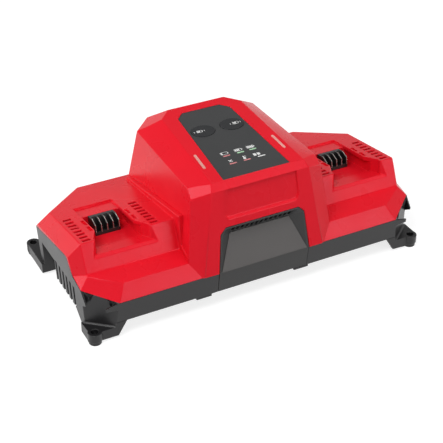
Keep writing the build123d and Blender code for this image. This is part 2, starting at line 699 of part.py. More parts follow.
def display_board():
    """Board hung under the roof on posts."""
    board = roof_box(-ROOF_BOARD_HALF, ROOF_BOARD_HALF, *ROOF_BOARD_V, ROOF_BOARD_W - BOARD_THICK, ROOF_BOARD_W)
    holes = [roof_rod(x, v, ROOF_BOARD_W - BOARD_THICK - 1, ROOF_BOARD_W + 1, PCB_SCREW_R) for x, v in POSTS]
    return board - both_sides(Part() + holes)


def tact_switches():
    """One switch under each key."""
    body = roof_box(KEY_X - SWITCH_HALF, KEY_X + SWITCH_HALF, KEY_V - SWITCH_HALF, KEY_V + SWITCH_HALF,
                    ROOF_BOARD_W, ROOF_BOARD_W + SWITCH_TALL)
    top = ROOF_BOARD_W + SWITCH_TALL
    return both_sides(body + roof_rod(KEY_X, KEY_V, top, top + PLUNGER_TALL, PLUNGER_R))


def status_leds():
    """Lamps under the panel's displays and under the light bars."""
    spots = [(x, v) for x in LAMP_X for v in LAMP_V]
    bar_x = (BAR_FRONT_X + BAR_REAR_X) / 2
    spots += [(side * bar_x, (BAR_FRONT_V + BAR_REAR_V) / 2) for side in (-1, 1)]
    lamps = [roof_box(x - LAMP_LONG / 2, x + LAMP_LONG / 2, v - LAMP_WIDE / 2, v + LAMP_WIDE / 2,
                      ROOF_BOARD_W, ROOF_BOARD_W + LAMP_TALL) for x, v in spots]
    return Part() + lamps


# ---------------------------------------------------------------- front moulding
RECESS_LOW_Z = PART_FRONT_Z + 1.2
RECESS_LOW = (INSET_FOOT_X, face_y(RECESS_LOW_Z), RECESS_LOW_Z)
RECESS_SIDE = (OPEN_SIDE_X - RIM, face_y(OPEN_SIDE_Z - 0.5), OPEN_SIDE_Z - 0.5)
RECESS_HIGH = (OPEN_TOP_X - 0.6, face_y(OPEN_TOP_Z - RIM), OPEN_TOP_Z - RIM)
RECESS_BACK = (INSET_TOP_X, INSET_TOP_Y, INSET_TOP_Z)


def opening(shrink=0.0):
    """Outline of the front opening, carried through the tower's front wall."""
    right = [(OPEN_FOOT_X, BASE_Z - 5), (OPEN_FOOT_X, PART_FRONT_Z), (OPEN_SIDE_X, OPEN_SIDE_Z),
             (OPEN_TOP_X, OPEN_TOP_Z)]
    left = [(-x, z) for x, z in reversed(right)]
    return prism_y(drawn_in(right + left, shrink), -PART_Y - 10, INSET_TOP_Y + 15)


def recess(back=0.0, around=0.0):
    """Hollow of the moulding's front: sloping back, louvre face and two cheeks each side."""
    body = block(0, OPEN_FOOT_X + 10, -PART_Y - 10, INSET_TOP_Y + 15, PART_FRONT_Z - 5, OPEN_TOP_Z + 10)
    inside = (5, INSET_TOP_Y - 5, INSET_TOP_Z)
    body = cut_back(body, inside, (*level(RECESS_LOW[1], RECESS_LOW[2]), (0, *RECESS_BACK[1:])), -back)
    around_faces = [
        (*level(RECESS_HIGH[1], RECESS_HIGH[2]), (0, *RECESS_BACK[1:])),
        (RECESS_LOW, RECESS_SIDE, RECESS_BACK),
        (RECESS_SIDE, RECESS_HIGH, RECESS_BACK),
    ]
    return both_sides(faceted(body, inside, around_faces, -around))


def louvres():
    """Row of slots through the slanted face at the top of the recess."""
    rise = Vector(0, RECESS_HIGH[1] - RECESS_BACK[1], RECESS_HIGH[2] - RECESS_BACK[2])
    middle = Vector(0, RECESS_BACK[1], RECESS_BACK[2]) + rise * 0.5
    frame = Plane(origin=middle, x_dir=(1, 0, 0), z_dir=Vector(1, 0, 0).cross(rise))
    slots = []
    for i in range(LOUVRES):
        x = (i - (LOUVRES - 1) / 2) * LOUVRE_PITCH
        slots.append(frame * Pos(x, 0, 0) * Box(LOUVRE_WIDE, LOUVRE_LONG, 4 * MOULD_WALL))
    return Part() + slots


def base_strip(thick, half):
    """Front skin of the base between two sides."""
    skin = both_sides(base_form() - base_form(thick))
    return skin & block(-half, half, -PART_Y - 10, -PART_Y + 10, BASE_Z, PART_FRONT_Z + 10)


def front_cover():
    """Dark moulding in the tower's front with a strip down the base's front wall."""
    form = both_sides(right_only(tower()))
    plate = (form - tower(WALL)) & opening(FIT)
    funnel = form & recess(INSET_THICK + MOULD_WALL, MOULD_WALL) & opening(FIT)
    upper = (plate + funnel - recess(INSET_THICK, 0)) & above_parting()
    strip = base_strip(STRIP_THICK, OPEN_FOOT_X - FIT) - above_parting()
    return upper + strip - louvres()


def front_inset():
    """Plate on the sloping back of the moulding's recess."""
    slab = recess(INSET_THICK, -FIT) - recess(0, 0)
    return slab & tower() & above_parting(-FIT)


def label_recess():
    """Shallow bare recess for a label on the tower's front."""
    right = [(LABEL_FOOT_X, LABEL_FOOT_Z), (LABEL_SIDE_X, LABEL_SIDE_Z), (LABEL_TOP_X, FACE_TOP_Z - 0.6)]
    left = [(-x, z) for x, z in reversed(right)]
    body = prism_y(right + left, -PART_Y - 10, FACE_TOP_Y + 10)
    face = (*level(face_y(FACE_TOP_Z), FACE_TOP_Z), (0, face_y(LABEL_FOOT_Z), LABEL_FOOT_Z))
    body = cut_back(body, (0, -PART_Y - 5, LABEL_SIDE_Z), face, -LABEL_DEEP)
    ledge = (*level(face_y(LABEL_FOOT_Z), LABEL_FOOT_Z),
             (0, face_y(LABEL_FOOT_Z) + LABEL_DEEP, LABEL_FOOT_Z + LABEL_DEEP))
    return cut_back(body, (0, -PART_Y - 5, FACE_TOP_Z), ledge)


# ---------------------------------------------------------------- fans on the tower's rear wall
FAN_REAR_Y = TOWER_REAR_Y - WALL
FAN_FRONT_Y = FAN_REAR_Y - FAN_THICK
FAN_TIP_R = FAN_BORE_R - FAN_TIP_GAP
FAN_PLATE = 2.5             # spider that carries the bearing
STRUTS = 4
STRUT_WIDE = 3.0
BEARING_R = 9.0
FAN_BLADE_THICK = 1.4
FAN_BLADE_DEEP = 9.0
AXIAL_GAP = 0.4
FAN_SCREW_LONG = 17.0
FAN_HEAD_R = 2.8
FAN_HEAD_TALL = 1.6


def fan_frame():
    """Square frame with a spider and a bearing boss on its front."""
    y0, y1 = FAN_FRONT_Y, FAN_REAR_Y
    half = FAN_SIZE / 2
    frame = block(FAN_X - half, FAN_X + half, y0, y1, FAN_Z - half, FAN_Z + half)
    frame -= rod_y(FAN_X, FAN_Z, y0 - 1, y1 + 1, FAN_BORE_R)
    spider = rod_y(FAN_X, FAN_Z, y0, y0 + FAN_PLATE, BEARING_R)
    for i in range(STRUTS):
        arm = block(0, FAN_BORE_R + 1, y0, y0 + FAN_PLATE, -STRUT_WIDE / 2, STRUT_WIDE / 2)
        spider += Pos(FAN_X, 0, FAN_Z) * Rot(0, 45 + 90 * i, 0) * arm
    bore = rod_y(FAN_X, FAN_Z, y0 - 1, y0 + FAN_PLATE + 1, FAN_SHAFT_R + FAN_SHAFT_GAP)
    return frame + spider - bore - fan_holes(y0 - 1, y1 + 1)


def fan_holes(y0, y1):
    """Fixing holes of one fan."""
    reach = FAN_HOLE_PITCH / 2
    return Part() + [rod_y(FAN_X + i * reach, FAN_Z + j * reach, y0, y1, FAN_SCREW_R)
                     for i in (-1, 1) for j in (-1, 1)]


def fan_rotor():
    """Hub with its shaft and pitched blades."""
    y0 = FAN_FRONT_Y + FAN_PLATE + AXIAL_GAP
    y1 = FAN_REAR_Y - AXIAL_GAP * 3
    middle = (y0 + y1) / 2
    rotor = rod_y(FAN_X, FAN_Z, y0, y1, FAN_HUB_R)
    rotor += rod_y(FAN_X, FAN_Z, FAN_FRONT_Y, y0 + 1, FAN_SHAFT_R)
    span = FAN_TIP_R - FAN_HUB_R + 2
    for i in range(FAN_BLADES):
        blade = Pos(FAN_HUB_R - 2 + span / 2, 0, 0) * Rot(FAN_BLADE_PITCH, 0, 0) * Box(
            span, FAN_BLADE_DEEP, FAN_BLADE_THICK)
        rotor += Pos(FAN_X, middle, FAN_Z) * Rot(0, i * 360 / FAN_BLADES, 0) * blade
    return rotor & rod_y(FAN_X, FAN_Z, FAN_FRONT_Y, FAN_REAR_Y, FAN_TIP_R)


def fan_screws():
    """Screws through both fan frames into the rear wall."""
    screws = fan_holes(FAN_FRONT_Y, FAN_FRONT_Y + FAN_SCREW_LONG)
    reach = FAN_HOLE_PITCH / 2
    for i in (-1, 1):
        for j in (-1, 1):
            at = Pos(FAN_X + i * reach, FAN_FRONT_Y - FAN_HEAD_TALL / 2, FAN_Z + j * reach)
            screws += at * Rot(90, 0, 0) * hexagon(FAN_HEAD_R, FAN_HEAD_TALL)
    return both_sides(screws)


def rear_slots():
    """Air slots behind each fan."""
    slots = []
    half_rows = int((FAN_BORE_R - REAR_SLOT_PITCH) / REAR_SLOT_PITCH)
    for i in range(-half_rows, half_rows + 1):
        z = i * REAR_SLOT_PITCH
        half = sqrt((FAN_BORE_R - 2) ** 2 - z * z)
        slots.append(block(FAN_X - half, FAN_X + half, FAN_REAR_Y - 1, TOWER_REAR_Y + 2,
                           FAN_Z + z - REAR_SLOT_WIDE / 2, FAN_Z + z + REAR_SLOT_WIDE / 2))
    return both_sides(Part() + slots)


# ---------------------------------------------------------------- top cover
def cover_bosses():
    """Posts inside the cover that the housing screws bite into."""
    posts = [rod(x, y, BOSS_JOINT_Z, deck_z(y) - 1, COVER_BOSS_R) for x, y in HOUSING_SCREWS]
    return Part() + posts


def top_cover():
    """Red upper shell with both bays, the panel recess and the front opening."""
    cavity = hollow() - bay_void(SKIN) - cover_bosses()
    half = (envelope() & above_parting()) + ((cover_bosses() + bay_void(SKIN)) & envelope())
    half = half - cavity - bay_void() - bay_details()
    pilots = [rod(x, y, BOSS_JOINT_Z - 1, SCREW_SEAT_Z + SCREW_LONG, SCREW_R) for x, y in HOUSING_SCREWS]
    window = bay_box(-BLOCK_TAIL - FIT, BLOCK_TAIL + FIT, FOOT_V[0] - FIT, FOOT_V[1] + FIT,
                     -PIT_DEPTH - SKIN - 1, 0)
    half = half - (Part() + pilots) - window
    shell = both_sides(half)
    posts = [roof_rod(x, v, ROOF_BOARD_W, -WALL + 0.5, POST_R) for x, v in POSTS]
    bites = [roof_rod(x, v, ROOF_BOARD_W - 1, ROOF_BOARD_W - BOARD_THICK + PCB_SCREW_LONG, PCB_SCREW_R)
             for x, v in POSTS]
    shell = shell + both_sides(Part() + posts) - both_sides(Part() + bites)
    shell = shell - roof_cuts() - opening()
    fan_bites = both_sides(fan_holes(FAN_REAR_Y - 1, FAN_FRONT_Y + FAN_SCREW_LONG))
    return shell - label_recess() - rear_slots() - fan_bites


# ---------------------------------------------------------------- base tray
EAR_WALL = 2.5
EAR_PLATE = 3.0
WEB_FRONT_RUN = 10.6        # run of the slanted webs beside the ears
WEB_SIDE_RUN = 23.0
WEB_REAR_RUN = 10.0
FRONT_EAR_LAP = 2.3         # front ear's inner end, past the corner cut
FRONT_EAR_REAR = 1.9        # its rear end, past the corner cut
FRONT_EAR_ARM = 4.7         # width of its rear arm under the side wall
FRONT_EAR_LIP = 1.85        # rear edge of its inner arm, behind the mounting hole
REAR_EAR_LAP = 5.0          # rear ear's inner end, past the rear corner cut
REAR_EAR_ARM = 13.7
REAR_EAR_LIP = 3.85
FIN_THICK = 2.6
FIN_SIDE_RUN = 10.7         # how far the fins run on past the corner cut
FIN_SIDE_DROP = 12.0        # fall of a fin's upper edge
FIN_SIDE_END = 1.5          # height of its blunt end
FIN_SIDE_ROOT = 20.5        # height of its root
FIN_FRONT_RUN = 15.5
FIN_FRONT_DROP = 3.3
FIN_FRONT_END = 4.5
FIN_FRONT_ROOT = 9.0
SILL_TALL = 1.6             # sloping ledge where the corner wall meets the front ear
SILL_DEEP = 1.6
POCKET_DEEP = 2.2           # three-sided pockets in the corner wall, under the cover's edge
POCKET_LONG = 11.0
POCKET_TALL = 8.0
POCKET_END = 4.0


def ear_plan(inner_x, end_y, arm_x, lip_y):
    """Outline of a front ear: its outer corner, two arms and the slant between them."""
    front, side = -EAR_Y - EAR_END, EAR_X + EAR_EDGE
    return [(side, front), (side, end_y), (arm_x, end_y), (inner_x, lip_y - EAR_Y), (inner_x, front)]


FRONT_EAR = ear_plan(CORNER_X + FRONT_EAR_LAP, PART_LOW[0] + FRONT_EAR_REAR,
                     BASE_LOW_X - FRONT_EAR_ARM, FRONT_EAR_LIP)
REAR_EAR_PLAN = ear_plan(REAR_CUT_X - REAR_EAR_LAP, -NOTCH_REAR_Y, BASE_LOW_X - REAR_EAR_ARM, REAR_EAR_LIP)
REAR_EAR = [(x, -y) for x, y in reversed(REAR_EAR_PLAN)]
CORNER_RUN = Vector(SIDE_LOW[0] - CORNER_X, PART_LOW[0] + PART_Y, 0)
CORNER_WALL = Plane(origin=(CORNER_X, -PART_Y, 0), x_dir=CORNER_RUN, z_dir=CORNER_RUN.cross(Vector(0, 0, 1)))


def ear(plan, hole_y):
    """Mounting ear: a hollow plate with a foot round its hole."""
    body = prism_z(plan, EAR_SKIRT_Z, EAR_TOP_Z)
    body -= prism_z(drawn_in(plan, EAR_WALL), EAR_SKIRT_Z - 1, EAR_TOP_Z - EAR_PLATE)
    body += rod(EAR_X, hole_y, FOOT_TIP_TALL, EAR_TOP_Z, FOOT_R)
    return body + rod(EAR_X, hole_y, 0, FOOT_TIP_TALL, FOOT_TIP_R)


def ear_neck(plan):
    """Wall that joins an ear to the underside of the base."""
    underside = base_form().faces().sort_by(Axis.Z)[0]
    low = EAR_TOP_Z - EAR_PLATE
    return extrude(underside, amount=BASE_Z - low, dir=(0, 0, -1)) & prism_z(plan, low, BASE_Z)


def webs():
    """Slanted webs that carry the ears' skirts up to the base."""
    front_x, front_y = FRONT_EAR[-1]
    web = prism_y([(front_x, EAR_SKIRT_Z), (front_x - WEB_FRONT_RUN, BASE_Z), (front_x + EAR_WALL, BASE_Z),
                   (front_x + EAR_WALL, EAR_SKIRT_Z)], front_y, front_y + EAR_WALL)
    y = FRONT_EAR[1][1]
    side = [(y, EAR_SKIRT_Z), (y + WEB_SIDE_RUN, BASE_Z), (y - EAR_WALL, BASE_Z), (y - EAR_WALL, EAR_SKIRT_Z)]
    web += prism_x(side, BASE_LOW_X - EAR_WALL, BASE_LOW_X)
    y, deep_x = NOTCH_REAR_Y, BASE_SIDE_X - NOTCH_DEEP
    inner = [(y, EAR_SKIRT_Z), (y - WEB_REAR_RUN, BASE_Z), (y + EAR_WALL, BASE_Z), (y + EAR_WALL, EAR_SKIRT_Z)]
    return web + prism_x(inner, deep_x - EAR_WALL, deep_x)


def fins():
    """Small fins that carry the side and front walls on past the corner cut."""
    y, z = PART_LOW
    tip = z - FIN_SIDE_DROP
    side = [(y + FIT, z), (y - FIN_SIDE_RUN, tip), (y - FIN_SIDE_RUN, tip - FIN_SIDE_END),
            (y + FIT, z - FIN_SIDE_ROOT)]
    x, z = CORNER_X, PART_FRONT_Z
    tip = z - FIN_FRONT_DROP
    front = [(x, z), (x + FIN_FRONT_RUN, tip), (x + FIN_FRONT_RUN, tip - FIN_FRONT_END), (x, z - FIN_FRONT_ROOT)]
    body = prism_x(side, BASE_SIDE_X - FIN_THICK, BASE_SIDE_X)
    body += prism_y(front, -PART_Y, -PART_Y + FIN_THICK)
    return faceted(body, WING_CORE, (SIDE_FACE, FRONT_FACE))


def sill():
    """Low sloping ledge along the foot of the corner wall, on the front ear."""
    low, high = EAR_TOP_Z - EAR_PLATE, EAR_TOP_Z + SILL_TALL
    section = [(low, -WALL), (low, SILL_DEEP), (EAR_TOP_Z, SILL_DEEP), (high, 0), (high, -WALL)]
    return (CORNER_WALL * prism_x(section, 0, CORNER_RUN.length)) & prism_z(FRONT_EAR, EAR_SKIRT_Z, BASE_Z)


def corner_pockets(grow=0.0):
    """Three-sided pockets at both ends of the corner wall, under the cover's edge."""
    run = CORNER_RUN.length
    rise = (PART_LOW[1] - PART_FRONT_Z) / run
    pockets = []
    for start in (POCKET_END, run - POCKET_END - POCKET_LONG):
        tip, end = start + POCKET_LONG / 2, start + POCKET_LONG
        outline = [(start, PART_FRONT_Z + rise * start + WALL), (tip, PART_FRONT_Z + rise * tip - POCKET_TALL),
                   (end, PART_FRONT_Z + rise * end + WALL)]
        pockets.append(CORNER_WALL * prism_z(drawn_in(outline, -grow), -POCKET_DEEP - grow, WALL))
    return Part() + pockets


def notch(grow=0.0):
    """Hand notch in the side wall, open outwards and below."""
    deep_x, low = BASE_SIDE_X - NOTCH_DEEP - grow, BASE_Z - 10
    outline = [(deep_x, low), (BASE_SIDE_X + 10, low), (BASE_SIDE_X + 10, NOTCH_TOP_Z + grow),
               (deep_x + NOTCH_SLANT, NOTCH_TOP_Z + grow), (deep_x, NOTCH_TOP_Z - NOTCH_SLANT)]
    return prism_y(outline, NOTCH_FRONT_Y - grow, NOTCH_REAR_Y + grow)


def side_vents():
    """Upright slots in the side wall, open at its lower edge."""
    slots = []
    for i in range(VENT_SLOTS):
        y = VENT_FIRST_Y + i * VENT_PITCH
        slots.append(block(BASE_LOW_X - 2 * WALL, BASE_SIDE_X + 5, y - VENT_WIDE / 2, y + VENT_WIDE / 2,
                           BASE_Z - 1, VENT_TOP_Z))
    return Part() + slots


def base_bosses():
    """Bosses for the housing screws and standoffs for the main board."""
    bosses = [rod(x, y, BASE_Z, BOSS_JOINT_Z, BASE_BOSS_R) for x, y in HOUSING_SCREWS]
    posts = [rod(x, y, BASE_Z, BASE_Z + WALL + STANDOFF_TALL, STANDOFF_R) for x, y in PCB_SCREWS]
    return Part() + bosses + posts


def boss_holes():
    """Counterbored screw holes from below and pilot holes in the standoffs."""
    holes = []
    for x, y in HOUSING_SCREWS:
        holes.append(rod(x, y, BASE_Z - 1, SCREW_SEAT_Z, SCREW_HEAD_R + FIT))
        holes.append(rod(x, y, SCREW_SEAT_Z - 1, BOSS_JOINT_Z + 1, SCREW_R))
    for x, y in PCB_SCREWS:
        holes.append(rod(x, y, PCB_TOP_Z - PCB_SCREW_LONG, PCB_TOP_Z, PCB_SCREW_R))
    return Part() + holes


def gland_pad():
    """Flat pad inside the rear wall for the cord gland."""
    return rod_y(GLAND_X, GLAND_Z, GLAND_SEAT_Y - WALL, GLAND_SEAT_Y + WALL - 1, GLAND_FLANGE_R + 2)


def base_tray():
    """Dark lower shell with its ears, vents, hand notches and bosses."""
    cavity = base_form(WALL) - notch(WALL) - corner_pockets(WALL) - base_bosses()
    half = base_form() - cavity - corner_pockets() + fins() - notch() - side_vents()
    half = half + ear(FRONT_EAR, -EAR_Y) + ear(REAR_EAR, EAR_Y) + sill()
    half = half + ear_neck(FRONT_EAR) + ear_neck(REAR_EAR) + webs()
    ear_holes = [rod(EAR_X, y, -1, EAR_TOP_Z + 1, EAR_HOLE_R) for y in (-EAR_Y, EAR_Y)]
    half = half - boss_holes() - (Part() + ear_holes)
    shell = both_sides(right_only(half)) - above_parting()
    for x in TAB_X:
        shell += block(x - TAB_LONG / 2, x + TAB_LONG / 2, -BASE_LOW_Y, -BASE_LOW_Y + WALL,
                       BASE_Z - TAB_TALL, BASE_Z)
    shell -= base_strip(STRIP_THICK, OPEN_FOOT_X)
    shell += gland_pad()
    return shell - rod_y(GLAND_X, GLAND_Z, 0, EAR_PITCH_Y, GLAND_R)


def cord_gland():
    """Round gland through the rear wall with a flange inside."""
    seat = GLAND_SEAT_Y - WALL
    body = rod_y(GLAND_X, GLAND_Z, seat, PART_Y + GLAND_OUT, GLAND_R)
    body += rod_y(GLAND_X, GLAND_Z, seat - GLAND_FLANGE, seat, GLAND_FLANGE_R)
    return body - rod_y(GLAND_X, GLAND_Z, seat - GLAND_FLANGE - 1, PART_Y + GLAND_OUT + 1, GLAND_BORE_R)


def housing_screws():
    """Screws from below that hold the cover down."""
    screws = []
    for x, y in HOUSING_SCREWS:
        shank = rod(x, y, SCREW_SEAT_Z, SCREW_SEAT_Z + SCREW_LONG, SCREW_R)
        screws.append(shank + rod(x, y, SCREW_SEAT_Z - SCREW_HEAD_TALL, SCREW_SEAT_Z, SCREW_HEAD_R))
    return both_sides(Part() + screws)


# ---------------------------------------------------------------- power supply
PCB_TOP_Z = BASE_Z + WALL + STANDOFF_TALL + BOARD_THICK
TRANSFORMER = (60.0, 50.0, 26.0)    # winding block, along X, Y and Z
TRANSFORMER_AT = (0.0, -24.0)
CORE_OVER = 8.0
CORE_TALL = 14.0
CHOKE_R = 16.0
CHOKE_BORE_R = 8.0
CHOKE_TALL = 14.0
CHOKE_AT = (108.0, -20.0)
CAP_R = 11.0
CAP_TALL = 30.0
CAP_PITCH = 24.0
CAP_AT = (112.0, 34.0)
PIN_R = 0.8


def main_board():
    """Board on the base's standoffs."""
    low = PCB_TOP_Z - BOARD_THICK
    board = block(-PCB_X, PCB_X, PCB_FRONT_Y, PCB_REAR_Y, low, PCB_TOP_Z)
    return board - both_sides(Part() + [rod(x, y, low - 1, PCB_TOP_Z + 1, PCB_SCREW_R) for x, y in PCB_SCREWS])


def board_screws():
    """Screws of the main board and of the display board."""
    screws = []
    for x, y in PCB_SCREWS:
        screws.append(rod(x, y, PCB_TOP_Z - PCB_SCREW_LONG, PCB_TOP_Z, PCB_SCREW_R))
        screws.append(Pos(x, y, PCB_TOP_Z + SCREW_HEAD_TALL / 2) * hexagon(PCB_SCREW_HEAD_R, SCREW_HEAD_TALL))
    low = ROOF_BOARD_W - BOARD_THICK
    for x, v in POSTS:
        screws.append(roof_rod(x, v, low, low + PCB_SCREW_LONG, PCB_SCREW_R))
        screws.append(ROOF * Pos(x, v, low - SCREW_HEAD_TALL / 2) * hexagon(PCB_SCREW_HEAD_R, SCREW_HEAD_TALL))
    return both_sides(Part() + screws)


def transformer():
    """Winding with a ferrite core round it."""
    x, y = TRANSFORMER_AT
    wide, deep, tall = TRANSFORMER
    core_x, core_y = wide / 2 + CORE_OVER, deep / 2 - CORE_OVER
    winding = block(x - wide / 2, x + wide / 2, y - deep / 2, y + deep / 2, PCB_TOP_Z, PCB_TOP_Z + tall)
    core = block(x - core_x, x + core_x, y - core_y, y + core_y, PCB_TOP_Z + (tall - CORE_TALL) / 2,
                 PCB_TOP_Z + (tall + CORE_TALL) / 2)
    return winding + core


def line_choke():
    """Ring core that lies on the board."""
    ring = rod(*CHOKE_AT, PCB_TOP_Z, PCB_TOP_Z + CHOKE_TALL, CHOKE_R)
    return both_sides(ring - rod(*CHOKE_AT, PCB_TOP_Z - 1, PCB_TOP_Z + CHOKE_TALL + 1, CHOKE_BORE_R))


def capacitors():
    """Row of upright capacitors on each side of the board."""
    x, y = CAP_AT
    cans = [rod(x + i * CAP_PITCH, y, PCB_TOP_Z, PCB_TOP_Z + CAP_TALL, CAP_R) for i in (-1, 0, 1)]
    return both_sides(Part() + cans)


def heat_sink():
    """Upright plate with fins on its outer side."""
    x0 = SINK_X
    y0, y1 = SINK_Y - SINK_LONG / 2, SINK_Y + SINK_LONG / 2
    sink = block(x0, x0 + SINK_PLATE, y0, y1, PCB_TOP_Z, PCB_TOP_Z + SINK_TALL)
    pitch = (SINK_LONG - SINK_FIN_THICK) / (SINK_FINS - 1)
    for i in range(SINK_FINS):
        y = y0 + i * pitch
        sink += block(x0 + SINK_PLATE, x0 + SINK_PLATE + SINK_FIN_LONG, y, y + SINK_FIN_THICK,
                      PCB_TOP_Z, PCB_TOP_Z + SINK_TALL)
    return sink


def power_transistors():
    """Flat packages against the inner faces of both heat sinks."""
    packs = []
    for i in (-1, 0, 1):
        y = SINK_Y + i * PACK_PITCH
        packs.append(block(SINK_X - PACK_THICK, SINK_X, y - PACK_WIDE / 2, y + PACK_WIDE / 2,
                           PCB_TOP_Z + PACK_LIFT, PCB_TOP_Z + PACK_LIFT + PACK_TALL))
        for j in (-1, 0, 1):
            x, pin_y = SINK_X - PACK_THICK / 2, y + j * PIN_PITCH
            packs.append(block(x - PIN_R / 2, x + PIN_R / 2, pin_y - PIN_R / 2, pin_y + PIN_R / 2,
                               PCB_TOP_Z, PCB_TOP_Z + PACK_LIFT))
    return both_sides(Part() + packs)


# ---------------------------------------------------------------- pieces
right_block, right_blades, right_bay_board = terminal_block(), blades(), bay_board()
right_key, right_pipe = key(), light_pipe()
right_sink, right_frame, right_rotor = heat_sink(), fan_frame(), fan_rotor()

PIECES = {
    "base_tray": base_tray(),
    "top_cover": top_cover(),
    "front_cover": front_cover(),
    "front_inset": front_inset(),
    "display_panel": display_panel(),
    "button_left": other_side(right_key),
    "button_right": right_key,
    "light_pipe_left": other_side(right_pipe),
    "light_pipe_right": right_pipe,
    "terminal_block_left": other_side(right_block),
    "terminal_block_right": right_block,
    "blades_left": other_side(right_blades),
    "blades_right": right_blades,
    "bay_board_left": other_side(right_bay_board),
    "bay_board_right": right_bay_board,
    "main_board": main_board(),
    "display_board": display_board(),
    "tact_switches": tact_switches(),
    "status_leds": status_leds(),
    "transformer": transformer(),
    "line_choke": line_choke(),
    "capacitors": capacitors(),
    "heat_sink_left": other_side(right_sink),
    "heat_sink_right": right_sink,
    "power_transistors": power_transistors(),
    "fan_frame_left": other_side(right_frame),
    "fan_frame_right": right_frame,
    "fan_rotor_left": other_side(right_rotor),
    "fan_rotor_right": right_rotor,
    "cord_gland": cord_gland(),
    "housing_screws": housing_screws(),
    "board_screws": board_screws(),
    "fan_screws": fan_screws(),
}

os.makedirs("parts", exist_ok=True)
for name, piece in PIECES.items():
    export_step(piece, f"parts/{name}.step")
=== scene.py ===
import math
import bmesh
import bpy
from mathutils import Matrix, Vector


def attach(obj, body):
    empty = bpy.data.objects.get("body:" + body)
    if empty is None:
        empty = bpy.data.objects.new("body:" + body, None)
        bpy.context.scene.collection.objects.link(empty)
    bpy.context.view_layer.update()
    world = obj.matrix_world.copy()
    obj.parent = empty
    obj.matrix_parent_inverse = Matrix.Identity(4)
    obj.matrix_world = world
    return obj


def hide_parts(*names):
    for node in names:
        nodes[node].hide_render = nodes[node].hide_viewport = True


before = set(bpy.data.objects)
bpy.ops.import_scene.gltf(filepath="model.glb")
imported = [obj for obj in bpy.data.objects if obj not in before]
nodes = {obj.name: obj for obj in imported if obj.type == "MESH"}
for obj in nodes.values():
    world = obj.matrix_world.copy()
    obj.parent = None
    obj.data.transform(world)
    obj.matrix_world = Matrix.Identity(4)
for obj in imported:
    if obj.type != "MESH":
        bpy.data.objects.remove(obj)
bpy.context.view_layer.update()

MM = 0.001

# ---------------------------------------------------------------- camera
LENS = 97.14
CAMERA_AT = Vector((-534.2, -1030.35, 802.0)) * MM
CAMERA_AIM = Vector((0.0, 2.81, 35.92)) * MM

camera_data = bpy.data.cameras.new("view_camera")
camera_data.lens = LENS
camera_data.sensor_width = 36.0
camera_data.clip_start = 0.05
camera_data.clip_end = 30.0
camera = bpy.data.objects.new("view_camera", camera_data)
bpy.context.scene.collection.objects.link(camera)
camera.location = CAMERA_AT
camera.rotation_euler = (CAMERA_AIM - CAMERA_AT).to_track_quat("-Z", "Y").to_euler()
bpy.context.scene.camera = camera
bpy.context.scene.view_settings.view_transform = "Standard"


# ---------------------------------------------------------------- materials
def new_material(name):
    """An empty node material with its tree, shader and object coordinates."""
    mat = bpy.data.materials.new(name)
    mat.use_nodes = True
    tree = mat.node_tree
    shader = tree.nodes["Principled BSDF"]
    coords = tree.nodes.new("ShaderNodeTexCoord")
    return mat, tree, shader, coords.outputs["Object"]


def noise(tree, coords, scale, detail=2.0, stretch=None):
    """A noise texture in object space, in features per metre."""
    source = coords
    if stretch:
        mapping = tree.nodes.new("ShaderNodeMapping")
        mapping.inputs["Scale"].default_value = stretch
        tree.links.new(coords, mapping.inputs["Vector"])
        source = mapping.outputs["Vector"]
    node = tree.nodes.new("ShaderNodeTexNoise")
    node.inputs["Scale"].default_value = scale
    node.inputs["Detail"].default_value = detail
    tree.links.new(source, node.inputs["Vector"])
    return node.outputs["Fac"]


def spread(tree, value, low, high, from_low=0.3, from_high=0.7):
    """A texture value moved into a range."""
    node = tree.nodes.new("ShaderNodeMapRange")
    node.inputs["From Min"].default_value = from_low
    node.inputs["From Max"].default_value = from_high
    node.inputs["To Min"].default_value = low
    node.inputs["To Max"].default_value = high
    tree.links.new(value, node.inputs["Value"])
    return node.outputs["Result"]


def mixed(tree, factor, first, second):
    """Two colours mixed by a factor."""
    node = tree.nodes.new("ShaderNodeMix")
    node.data_type = "RGBA"
    node.inputs[6].default_value = (*first, 1)
    node.inputs[7].default_value = (*second, 1)
    tree.links.new(factor, node.inputs[0])
    return node.outputs[2]


def bumped(tree, shader, height, depth):
    """A bump from a height texture, its depth in metres."""
    node = tree.nodes.new("ShaderNodeBump")
    node.inputs["Distance"].default_value = depth
    node.inputs["Strength"].default_value = 1.0
    tree.links.new(height, node.inputs["Height"])
    tree.links.new(node.outputs["Normal"], shader.inputs["Normal"])


def plastic(name, colour, rough, grain=1400.0, depth=0.00002, shade=0.9, level=0.5, tint=(1, 1, 1)):
    """Moulded plastic with a fine grained skin and a little unevenness in colour and gloss."""
    mat, tree, shader, coords = new_material(name)
    broad = noise(tree, coords, 22.0, 3.0)
    fine = noise(tree, coords, grain, 2.0)
    dark = tuple(c * shade for c in colour)
    tree.links.new(mixed(tree, spread(tree, broad, 0.0, 1.0), dark, colour), shader.inputs["Base Color"])
    tree.links.new(spread(tree, broad, rough - 0.03, rough + 0.04), shader.inputs["Roughness"])
    shader.inputs["Specular IOR Level"].default_value = level
    shader.inputs["Specular Tint"].default_value = (*tint, 1)
    bumped(tree, shader, fine, depth)
    return mat


def metal(name, colour, rough, stretch=(1, 1, 14)):
    """Metal with fine drawn lines."""
    mat, tree, shader, coords = new_material(name)
    lines = noise(tree, coords, 500.0, 3.0, stretch)
    dark = tuple(c * 0.82 for c in colour)
    tree.links.new(mixed(tree, spread(tree, lines, 0.0, 1.0), dark, colour), shader.inputs["Base Color"])
    tree.links.new(spread(tree, lines, rough - 0.06, rough + 0.08), shader.inputs["Roughness"])
    shader.inputs["Metallic"].default_value = 1.0
    bumped(tree, shader, lines, 0.00001)
    return mat


